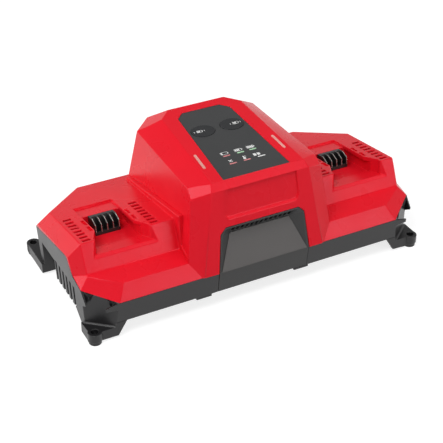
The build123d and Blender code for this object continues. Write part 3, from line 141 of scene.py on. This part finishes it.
def circuit(name):
    """Solder mask with copper runs and tin pads."""
    mat, tree, shader, coords = new_material(name)
    cells = tree.nodes.new("ShaderNodeTexVoronoi")
    cells.distance = "MANHATTAN"
    cells.inputs["Scale"].default_value = 160.0
    tree.links.new(coords, cells.inputs["Vector"])
    runs = noise(tree, coords, 60.0, 1.0)
    ground = mixed(tree, spread(tree, runs, 0.0, 1.0, 0.45, 0.55), (0.012, 0.10, 0.035), (0.03, 0.19, 0.07))
    pads = spread(tree, cells.outputs["Distance"], 1.0, 0.0, 0.10, 0.14)
    mix = tree.nodes.new("ShaderNodeMix")
    mix.data_type = "RGBA"
    mix.inputs[7].default_value = (0.62, 0.62, 0.60, 1)
    tree.links.new(pads, mix.inputs[0])
    tree.links.new(ground, mix.inputs[6])
    tree.links.new(mix.outputs[2], shader.inputs["Base Color"])
    tree.links.new(spread(tree, runs, 0.28, 0.4), shader.inputs["Roughness"])
    bumped(tree, shader, pads, 0.0001)
    return mat


RED = (0.77, 0.008, 0.020)
RED_SHELL = plastic("red_shell", RED, 0.28, depth=0.000005, shade=0.96, level=0.16, tint=(1.0, 0.8, 0.95))
DARK_SHELL = plastic("dark_shell", (0.010, 0.0095, 0.0105), 0.36, depth=0.00002, shade=0.85, level=0.46)
DARK_MOULDING = plastic("dark_moulding", (0.022, 0.022, 0.022), 0.38, depth=0.00002, shade=0.88, level=0.42)
GREY_PLATE = plastic("grey_plate", (0.086, 0.080, 0.078), 0.42, depth=0.00002, shade=0.92, level=0.3)
PANEL_FILM = plastic("panel_film", (0.037, 0.038, 0.039), 0.33, depth=0.000004, shade=0.92, level=0.5)
KEY_FILM = plastic("key_film", (0.026, 0.027, 0.029), 0.30, grain=2600.0, depth=0.000006, shade=0.9,
                   level=0.25)
LIGHT_BAR = plastic("light_bar", (0.82, 0.36, 0.32), 0.3, grain=900.0, depth=0.00001, shade=0.8)
BLACK_PLASTIC = plastic("black_plastic", (0.010, 0.010, 0.010), 0.34, depth=0.00001, shade=0.8, level=0.4)
FERRITE = plastic("ferrite", (0.04, 0.04, 0.042), 0.6, grain=900.0, depth=0.00004, shade=0.7)
CHOKE = plastic("choke_core", (0.06, 0.20, 0.10), 0.35, grain=700.0, depth=0.00003, shade=0.7)
SLEEVE = plastic("capacitor_sleeve", (0.015, 0.02, 0.06), 0.25, grain=500.0, depth=0.00001, shade=0.8)
LAMP = plastic("lamp_epoxy", (0.85, 0.80, 0.62), 0.2, grain=600.0, depth=0.00001, shade=0.8)
GROMMET = plastic("grommet", (0.02, 0.02, 0.02), 0.65, grain=1100.0, depth=0.00004, shade=0.8)
CONTACT = metal("contact_metal", (0.66, 0.63, 0.59), 0.42)
ALUMINIUM = metal("sink_aluminium", (0.70, 0.71, 0.72), 0.35)
SCREW = metal("screw_steel", (0.5, 0.5, 0.51), 0.35, (6, 6, 1))
BOARD = circuit("circuit_board")
WHITE_PRINT = plastic("white_print", (0.80, 0.80, 0.79), 0.4, grain=2600.0, depth=0.000004, shade=0.93)
RED_PRINT = plastic("red_print", (0.66, 0.23, 0.24), 0.4, grain=2600.0, depth=0.000004, shade=0.9)
GREEN_PRINT = plastic("green_print", (0.40, 0.66, 0.42), 0.4, grain=2600.0, depth=0.000004, shade=0.9)

FINISH = {
    "top_cover": RED_SHELL, "base_tray": DARK_SHELL, "front_cover": DARK_MOULDING, "front_inset": GREY_PLATE,
    "display_panel": PANEL_FILM, "button_left": KEY_FILM, "button_right": KEY_FILM,
    "light_pipe_left": LIGHT_BAR, "light_pipe_right": LIGHT_BAR,
    "terminal_block_left": BLACK_PLASTIC, "terminal_block_right": BLACK_PLASTIC,
    "blades_left": CONTACT, "blades_right": CONTACT, "bay_board_left": BOARD, "bay_board_right": BOARD,
    "main_board": BOARD, "display_board": BOARD, "tact_switches": BLACK_PLASTIC, "status_leds": LAMP,
    "transformer": FERRITE, "line_choke": CHOKE, "capacitors": SLEEVE,
    "heat_sink_left": ALUMINIUM, "heat_sink_right": ALUMINIUM, "power_transistors": BLACK_PLASTIC,
    "fan_frame_left": BLACK_PLASTIC, "fan_frame_right": BLACK_PLASTIC,
    "fan_rotor_left": BLACK_PLASTIC, "fan_rotor_right": BLACK_PLASTIC,
    "cord_gland": GROMMET, "housing_screws": SCREW, "board_screws": SCREW, "fan_screws": SCREW,
}

# edge rounding of the small moulded nodes, as a modifier: width in millimetres
ROUNDING = {
    "front_inset": 0.15, "display_panel": 0.25,
    "button_left": 0.3, "button_right": 0.3, "light_pipe_left": 0.2, "light_pipe_right": 0.2,
    "cord_gland": 0.4, "fan_frame_left": 0.3, "fan_frame_right": 0.3,
}

# edge rounding of the large mouldings, which get a rounded piece of their own
MOULDINGS = {"top_cover": 0.7, "base_tray": 0.6, "front_cover": 0.5}

MERGE = 0.15 * MM                   # points nearer than this become one
FLAT_ANGLE = math.radians(0.6)      # faces that meet at less are one flat face
EDGE_ANGLE = math.radians(14)       # only edges sharper than this are rounded
RUN_ANGLE = math.radians(35)        # a run of edges ends where it turns by more
NARROW_FACE = 1.6 * MM              # a face narrower than this may be shaded smooth
ROOM_BESIDE_ROUNDED = 2.3           # room to an edge that is rounded too, in widths
ROOM_BESIDE_SHARP = 1.25            # room to an edge that stays sharp
SHORTEST_AT_END = 1.3               # shortest edge that may meet a rounded one


def dress(name):
    """Give a node its material, and rounded edges where its moulding shows."""
    node = nodes[name]
    node.data.materials.clear()
    node.data.materials.append(FINISH[name])
    if name in ROUNDING:
        weld = node.modifiers.new("weld", "WELD")
        weld.merge_threshold = 0.02 * MM
        flat = node.modifiers.new("flat", "DECIMATE")
        flat.decimate_type = "DISSOLVE"
        flat.angle_limit = FLAT_ANGLE
        bevel = node.modifiers.new("round", "BEVEL")
        bevel.width = ROUNDING[name] * MM
        bevel.segments = 2
        bevel.limit_method = "ANGLE"
        bevel.angle_limit = EDGE_ANGLE
        bevel.harden_normals = True


def runs_of_edges(sharp):
    """Group sharp edges into runs that go on from one edge to the next without a corner."""
    left, runs = set(sharp), []
    for start in sharp:
        if start not in left:
            continue
        left.discard(start)
        run, ends = [start], [(start, vert) for vert in start.verts]
        while ends:
            edge, vert = ends.pop()
            onward = [e for e in vert.link_edges if e in sharp and e is not edge]
            if len(onward) != 1 or onward[0] not in left:
                continue
            far = onward[0].other_vert(vert).co - vert.co
            near = vert.co - edge.other_vert(vert).co
            if far.angle(near, 0.0) > RUN_ANGLE:
                continue
            left.discard(onward[0])
            run.append(onward[0])
            ends.append((onward[0], onward[0].other_vert(vert)))
        runs.append(run)
    return runs


def gap_between(edge, other):
    """Least distance from either edge's ends to the other edge."""
    gaps = []
    for one, two in ((edge, other), (other, edge)):
        a, b = two.verts[0].co, two.verts[1].co
        along = b - a
        for vert in one.verts:
            share = max(0.0, min(1.0, (vert.co - a).dot(along) / max(along.length_squared, 1e-15)))
            gaps.append((a + along * share - vert.co).length)
    return min(gaps)


def has_room(run, taken, width):
    """Whether the faces beside a run are wide enough for its rounding and their other ones."""
    own = set(run)
    near = {vert for edge in run for vert in edge.verts}
    for edge in run:
        for face in edge.link_faces:
            for other in face.edges:
                if other in own:
                    continue
                if other.verts[0] in near or other.verts[1] in near:
                    if other.calc_length() < SHORTEST_AT_END * width:
                        return False
                    continue
                room = ROOM_BESIDE_ROUNDED if other in taken else ROOM_BESIDE_SHARP
                if gap_between(edge, other) < width * room:
                    return False
    return True


def round_moulding(name, width):
    """A copy of a moulding with its free edges rounded, in the moulding's place."""
    mesh = bmesh.new()
    mesh.from_mesh(nodes[name].data)
    bmesh.ops.remove_doubles(mesh, verts=mesh.verts, dist=MERGE)
    bmesh.ops.dissolve_limit(mesh, angle_limit=FLAT_ANGLE, verts=mesh.verts, edges=mesh.edges)
    sharp = [e for e in mesh.edges if len(e.link_faces) == 2 and e.calc_face_angle(0.0) > EDGE_ANGLE]
    sharp = dict.fromkeys(sharp)
    runs = sorted(runs_of_edges(sharp), key=lambda run: -sum(e.calc_length() for e in run))
    taken = set()
    for run in runs:
        if has_room(run, taken, width):
            taken.update(run)
    chosen = [e for e in sharp if e in taken]
    for edge in mesh.edges:
        edge.smooth = edge.calc_face_angle(0.0) < EDGE_ANGLE
    for face in mesh.faces:
        around = sum(edge.calc_length() for edge in face.edges)
        narrow = 2 * face.calc_area() < NARROW_FACE * around
        curved = any(FLAT_ANGLE < edge.calc_face_angle(0.0) < EDGE_ANGLE for edge in face.edges)
        face.smooth = narrow and curved
    rounded_edges = bmesh.ops.bevel(mesh, geom=chosen, offset=width, offset_type="OFFSET", segments=3,
                                    profile=0.5, affect="EDGES", clamp_overlap=False, material=-1)
    for face in rounded_edges["faces"]:
        face.smooth = True
    bmesh.ops.recalc_face_normals(mesh, faces=mesh.faces)
    data = bpy.data.meshes.new(name + "_moulding")
    mesh.to_mesh(data)
    mesh.free()
    data.materials.append(FINISH[name])
    piece = bpy.data.objects.new(name + "_moulding", data)
    bpy.context.scene.collection.objects.link(piece)
    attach(piece, "housing")
    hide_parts(name)


for node_name in FINISH:
    dress(node_name)
for node_name, width in MOULDINGS.items():
    round_moulding(node_name, width * MM)


# ---------------------------------------------------------------- prints on the panel and the keys
ROOF_Y, ROOF_Z = -80.9, 148.7               # origin of the roof's frame
ROOF_COS, ROOF_SIN = 0.99666, 0.08173       # its slope, rising to the rear
BAY_X, BAY_Z = 146.5, 90.79                 # origin of the right bay's frame
BAY_COS, BAY_SIN = 0.9876, 0.1567           # its slope, falling to the rear


def roof_point(x, v, w):
    """A point in the roof's frame in millimetres: v up the slope, w above it."""
    return Vector((x, ROOF_Y + ROOF_COS * v - ROOF_SIN * w, ROOF_Z + ROOF_SIN * v + ROOF_COS * w)) * MM


def rounded(x, v, long, wide, radius, turn=0.0, steps=4):
    """Outline of a rounded oblong about a point, turned by an angle in degrees."""
    points = []
    for quarter, (sx, sv) in enumerate(((1, 1), (-1, 1), (-1, -1), (1, -1))):
        for i in range(steps + 1):
            angle = math.radians(90 * quarter + 90 * i / steps)
            points.append((sx * (long / 2 - radius) + radius * math.cos(angle),
                           sv * (wide / 2 - radius) + radius * math.sin(angle)))
    cos, sin = math.cos(math.radians(turn)), math.sin(math.radians(turn))
    return [(x + a * cos - b * sin, v + a * sin + b * cos) for a, b in points]


def add_pad(mesh, outline, w0, w1, hole=None):
    """A thin pad with the outline, or a ring of the same number of points with a hole."""
    low = [mesh.verts.new(roof_point(x, v, w0)) for x, v in outline]
    high = [mesh.verts.new(roof_point(x, v, w1)) for x, v in outline]
    count = len(outline)
    for i in range(count):
        j = (i + 1) % count
        mesh.faces.new((low[i], low[j], high[j], high[i]))
    if hole is None:
        mesh.faces.new(high)
        mesh.faces.new(low[::-1])
        return
    low_in = [mesh.verts.new(roof_point(x, v, w0)) for x, v in hole]
    high_in = [mesh.verts.new(roof_point(x, v, w1)) for x, v in hole]
    for i in range(count):
        j = (i + 1) % count
        mesh.faces.new((high[i], high[j], high_in[j], high_in[i]))
        mesh.faces.new((low_in[i], low_in[j], low[j], low[i]))
        mesh.faces.new((high_in[i], high_in[j], low_in[j], low_in[i]))


def new_piece(name, mesh, material, body):
    """Turn a bmesh into a piece that rides on a body."""
    bmesh.ops.recalc_face_normals(mesh, faces=mesh.faces)
    data = bpy.data.meshes.new(name)
    mesh.to_mesh(data)
    mesh.free()
    data.materials.append(material)
    piece = bpy.data.objects.new(name, data)
    bpy.context.scene.collection.objects.link(piece)
    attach(piece, body)
    return piece


def bay_point(side, u, v, w):
    """A point in a bay's frame in millimetres: u across, v towards the rear, w above the deck."""
    return Vector((side * BAY_X + u, BAY_COS * v + BAY_SIN * w, BAY_Z - BAY_SIN * v + BAY_COS * w)) * MM


def add_prism(mesh, side, outline, u0, u1):
    """A closed prism across the bay with the outline (v, w)."""
    ends = [[mesh.verts.new(bay_point(side, u, v, w)) for v, w in outline] for u in (u0, u1)]
    for i in range(len(outline)):
        j = (i + 1) % len(outline)
        mesh.faces.new((ends[0][i], ends[0][j], ends[1][j], ends[1][i]))
    mesh.faces.new(ends[0][::-1])
    mesh.faces.new(ends[1])


def add_comb(mesh, side, places, fin_half, shared, fin, gap):
    """One closed body whose side view is a fin's at each place and is cut back between them.

    Both side views share their rear and foot; the fin's front and the gap's front run between
    the same two points, the last of the rear and the first of the foot.
    """
    rear, foot = shared
    stations = []
    for place in places:
        stations += [place - fin_half, place + fin_half]
    rings = []
    for u in stations:
        rings.append({key: [mesh.verts.new(bay_point(side, u, v, w)) for v, w in points]
                      for key, points in (("rear", rear), ("foot", foot), ("fin", fin), ("gap", gap))})
    last = len(rings) - 1
    for i in range(last):
        front = "fin" if i % 2 == 0 else "gap"
        loops = [ring["rear"] + ring[front] + ring["foot"] for ring in (rings[i], rings[i + 1])]
        for a in range(len(loops[0])):
            b = (a + 1) % len(loops[0])
            mesh.faces.new((loops[0][a], loops[0][b], loops[1][b], loops[1][a]))
    for i, ring in enumerate(rings):
        if i in (0, last):
            mesh.faces.new(ring["rear"] + ring["fin"] + ring["foot"])
        else:
            mesh.faces.new([ring["rear"][-1]] + ring["fin"] + [ring["foot"][0]] + ring["gap"][::-1])
    loose = [vert for vert in mesh.verts if not vert.link_faces]
    bmesh.ops.delete(mesh, geom=loose, context="VERTS")


PRINT_HALF = 0.03           # half thickness of a print


def add_print(mesh, outline, w, hole=None):
    """A print: a pad half sunk into the face it is on."""
    add_pad(mesh, outline, w - PRINT_HALF, w + PRINT_HALF, hole)


def battery(mesh, x, v, w, long, wide, cells, shown):
    """Battery pictogram: a frame with its cap and some of its cells filled."""
    line = 0.09 * wide
    inside = rounded(x, v, long - 2 * line, wide - 2 * line, 0.3)
    add_print(mesh, rounded(x, v, long, wide, 0.6), w, inside)
    add_print(mesh, rounded(x + long / 2 + 0.55, v, 0.8, wide * 0.4, 0.2), w)
    pitch = (long - 3 * line) / cells
    for i in range(shown):
        cell_x = x - long / 2 + 1.5 * line + (i + 0.5) * pitch
        add_print(mesh, rounded(cell_x, v, pitch - 0.35, wide - 3.6 * line, 0.15), w)


PANEL_W = -0.6              # face of the panel below the roof
KEY_W = -0.1                # face of a key
ICON_X = (-17.0, 0.0, 15.0)
ICON_HIGH_V = 45.2
ICON_LOW_V = 29.8
BAR_DROP = 5.0              # coloured bar below its icon
BAR_SHIFT = 0.8             # and to its right
BAR_SIZE = (8.4, 1.9, 0.6)  # length, width and corner radius
MARK_X, MARK_V = 22.5, 93.8     # middle of the right key's mark
MARK_BAR_AWAY = 6.2             # bars either side of a mark's battery
LIGHT_X, LIGHT_LEAN = 49.0, 1.3     # front end of a light bar, and how far it leans in
LIGHT_V, LIGHT_LONG = 27.5, 27.5    # where it starts, and its length
LIGHT_TURN = 2.7
RIBS = 12

signs = bmesh.new()
for icon_x, shown in zip(ICON_X, (1, 3, 4)):
    battery(signs, icon_x, ICON_HIGH_V, PANEL_W, 8.6, 4.6, 4, shown)
for turn in (45, -45):
    add_print(signs, rounded(ICON_X[0], ICON_LOW_V, 5.4, 0.9, 0.4, turn), PANEL_W)
add_print(signs, rounded(ICON_X[1] - 0.6, ICON_LOW_V + 1.0, 1.5, 4.2, 0.7), PANEL_W)
bulb = rounded(ICON_X[1] - 0.6, ICON_LOW_V - 1.7, 3.0, 3.0, 1.45, steps=6)
add_pad(signs, bulb, PANEL_W - PRINT_HALF, PANEL_W + 0.035)
for step in range(3):
    add_print(signs, rounded(ICON_X[1] + 1.6, ICON_LOW_V + 2.4 - 1.2 * step, 1.3, 0.5, 0.2), PANEL_W)
for shift in (-2.3, 2.3):
    add_print(signs, rounded(ICON_X[2] + shift, ICON_LOW_V, 3.4, 4.2, 0.5), PANEL_W)
add_print(signs, rounded(ICON_X[2] + 3.4, ICON_LOW_V + 0.2 - BAR_DROP, 9.0, 1.5, 0.5), PANEL_W)
new_piece("panel_signs", signs, WHITE_PRINT, "housing")

lit_red = bmesh.new()
for icon_x, icon_v in ((ICON_X[0], ICON_HIGH_V), (ICON_X[0], ICON_LOW_V), (ICON_X[1], ICON_LOW_V)):
    add_print(lit_red, rounded(icon_x + BAR_SHIFT, icon_v - BAR_DROP, *BAR_SIZE), PANEL_W)
new_piece("panel_bars_red", lit_red, RED_PRINT, "housing")

lit_green = bmesh.new()
for icon_x in ICON_X[1:]:
    add_print(lit_green, rounded(icon_x + BAR_SHIFT, ICON_HIGH_V - BAR_DROP, *BAR_SIZE), PANEL_W)
new_piece("panel_bars_green", lit_green, GREEN_PRINT, "housing")

for side, name in ((-1, "left"), (1, "right")):
    mark = bmesh.new()
    battery(mark, side * MARK_X, MARK_V, KEY_W, 6.6, 4.2, 3, 2)
    for away in (-MARK_BAR_AWAY, MARK_BAR_AWAY):
        add_print(mark, rounded(side * MARK_X + away, MARK_V, 0.6, 2.6, 0.25), KEY_W)
    new_piece("key_mark_" + name, mark, WHITE_PRINT, "button_" + name)

    ribs = bmesh.new()
    for i in range(RIBS):
        along = (i + 0.5) / RIBS
        rib_x, rib_v = side * (LIGHT_X - LIGHT_LEAN * along), LIGHT_V + LIGHT_LONG * along
        add_pad(ribs, rounded(rib_x, rib_v, 2.3, 1.1, 0.5, side * LIGHT_TURN), 0.2, 0.42)
    ribs_piece = new_piece("light_bar_ribs_" + name, ribs, LIGHT_BAR, "housing")
    soften = ribs_piece.modifiers.new("round", "BEVEL")
    soften.width = 0.12 * MM
    soften.segments = 2


# ---------------------------------------------------------------- terminal blocks
BLADE_PITCH = 6.85
BLADE_PLACES = [(i - 2) * BLADE_PITCH for i in range(5)]
FIN_HALF = 0.95
BLADE_HALF = 0.3
BLOCK_REAR = [(11.1, -18.5), (11.1, -2.7), (9.9, -1.5), (5.2, -1.5)]
BLOCK_FIN = [(-1.0, -1.5), (-9.0, -6.0)]
BLOCK_GAP = [(3.4, -4.6), (1.4, -14.2)]
BLOCK_FOOT = [(-9.0, -14.2), (-9.0, -18.5)]
BLOCK_TAIL = [(-6.8, -22.5), (-6.8, -18.4), (9.2, -18.4), (9.2, -22.5)]
TAIL_HALF = 13.0
BLADE_SIDE = [(2.2, -3.2), (2.2, -1.9), (-0.9, -1.12), (-9.5, -5.85),
              (-9.5, -14.6), (-7.4, -14.6), (-7.4, -7.2), (-2.0, -4.0)]

for side, name in ((-1, "left"), (1, "right")):
    comb = bmesh.new()
    add_comb(comb, side, BLADE_PLACES, FIN_HALF, (BLOCK_REAR, BLOCK_FOOT), BLOCK_FIN, BLOCK_GAP)
    add_prism(comb, side, BLOCK_TAIL, -TAIL_HALF, TAIL_HALF)
    comb_piece = new_piece("terminal_comb_" + name, comb, BLACK_PLASTIC, "housing")
    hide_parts("terminal_block_" + name)
    strips = bmesh.new()
    for place in BLADE_PLACES:
        add_prism(strips, side, BLADE_SIDE, place - BLADE_HALF, place + BLADE_HALF)
    strips_piece = new_piece("terminal_strips_" + name, strips, CONTACT, "housing")
    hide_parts("blades_" + name)
    for piece, width in ((comb_piece, 0.25), (strips_piece, 0.2)):
        soften = piece.modifiers.new("round", "BEVEL")
        soften.width = width * MM
        soften.segments = 2
        soften.limit_method = "ANGLE"
        soften.angle_limit = math.radians(20)
        soften.harden_normals = True


# ---------------------------------------------------------------- floor and light
def seen_ray(tree, light_path):
    """1 for camera, glossy and transmission rays, 0 for the rays that light things."""
    total = light_path.outputs["Is Camera Ray"]
    for kind in ("Is Glossy Ray", "Is Transmission Ray"):
        larger = tree.nodes.new("ShaderNodeMath")
        larger.operation = "MAXIMUM"
        tree.links.new(total, larger.inputs[0])
        tree.links.new(light_path.outputs[kind], larger.inputs[1])
        total = larger.outputs[0]
    return total


FLOOR_HALF = 4
FLOOR_GREY = 0.36
FLOOR_GLOW = 0.78           # added for rays that see the floor, not for those that light things
WORLD_LIGHT = 0.28          # strength for rays that light things
DOME_LOW, DOME_HIGH = (0.05, 1.0), (0.5, 0.4)       # height and strength of the dome that is seen

corners = [(-FLOOR_HALF, -FLOOR_HALF, 0), (FLOOR_HALF, -FLOOR_HALF, 0),
           (FLOOR_HALF, FLOOR_HALF, 0), (-FLOOR_HALF, FLOOR_HALF, 0)]
floor_mesh = bpy.data.meshes.new("floor")
floor_mesh.from_pydata(corners, [], [(0, 1, 2, 3)])
floor = bpy.data.objects.new("floor", floor_mesh)
bpy.context.scene.collection.objects.link(floor)
floor_mat, floor_tree, floor_shader, _ = new_material("floor_paper")
floor_shader.inputs["Base Color"].default_value = (FLOOR_GREY, FLOOR_GREY, FLOOR_GREY, 1)
floor_shader.inputs["Roughness"].default_value = 0.9
floor_glow = floor_tree.nodes.new("ShaderNodeEmission")
floor_path = floor_tree.nodes.new("ShaderNodeLightPath")
floor_level = floor_tree.nodes.new("ShaderNodeMath")
floor_level.operation = "MULTIPLY"
floor_level.inputs[1].default_value = FLOOR_GLOW
floor_tree.links.new(seen_ray(floor_tree, floor_path), floor_level.inputs[0])
floor_tree.links.new(floor_level.outputs[0], floor_glow.inputs["Strength"])
floor_sum = floor_tree.nodes.new("ShaderNodeAddShader")
floor_out = floor_tree.nodes["Material Output"]
floor_tree.links.new(floor_shader.outputs[0], floor_sum.inputs[0])
floor_tree.links.new(floor_glow.outputs[0], floor_sum.inputs[1])
floor_tree.links.new(floor_sum.outputs[0], floor_out.inputs["Surface"])
floor_mesh.materials.append(floor_mat)

world = bpy.data.worlds.new("studio")
bpy.context.scene.world = world
world.use_nodes = True
sky = world.node_tree.nodes["Background"]
sky.inputs["Color"].default_value = (1, 1, 1, 1)
path = world.node_tree.nodes.new("ShaderNodeLightPath")
seen = seen_ray(world.node_tree, path)
strength = world.node_tree.nodes.new("ShaderNodeMapRange")
strength.inputs["To Min"].default_value = WORLD_LIGHT
direction = world.node_tree.nodes.new("ShaderNodeTexCoord")
rise = world.node_tree.nodes.new("ShaderNodeSeparateXYZ")
world.node_tree.links.new(direction.outputs["Generated"], rise.inputs["Vector"])
dome = world.node_tree.nodes.new("ShaderNodeMapRange")
dome.inputs["From Min"].default_value, dome.inputs["To Min"].default_value = DOME_LOW
dome.inputs["From Max"].default_value, dome.inputs["To Max"].default_value = DOME_HIGH
world.node_tree.links.new(rise.outputs["Z"], dome.inputs["Value"])
world.node_tree.links.new(dome.outputs["Result"], strength.inputs["To Max"])
world.node_tree.links.new(seen, strength.inputs["Value"])
world.node_tree.links.new(strength.outputs["Result"], sky.inputs["Strength"])


LAMP_AIM = Vector((0, 0, 0.06))


def softbox(name, rise, turn, size, power, away=1.9):
    """A large soft lamp aimed at the object.

    It stands some degrees above the floor, and some degrees round from the front to the right.
    """
    data = bpy.data.lights.new(name, "AREA")
    data.shape = "RECTANGLE"
    data.size, data.size_y = size
    data.energy = power
    lamp = bpy.data.objects.new(name, data)
    bpy.context.scene.collection.objects.link(lamp)
    up, about = math.radians(rise), math.radians(turn)
    to_lamp = Vector((math.sin(about) * math.cos(up), -math.cos(about) * math.cos(up), math.sin(up)))
    lamp.location = LAMP_AIM + away * to_lamp
    lamp.rotation_euler = (-to_lamp).to_track_quat("-Z", "Y").to_euler()


softbox("key_box", 56, -62, (0.95, 0.8), 19.0)
softbox("front_box", 15, 24, (1.0, 0.45), 9.0)
softbox("left_box", 14, -118, (1.0, 0.7), 13.0)
softbox("right_box", 58, 62, (1.2, 1.0), 7.0)
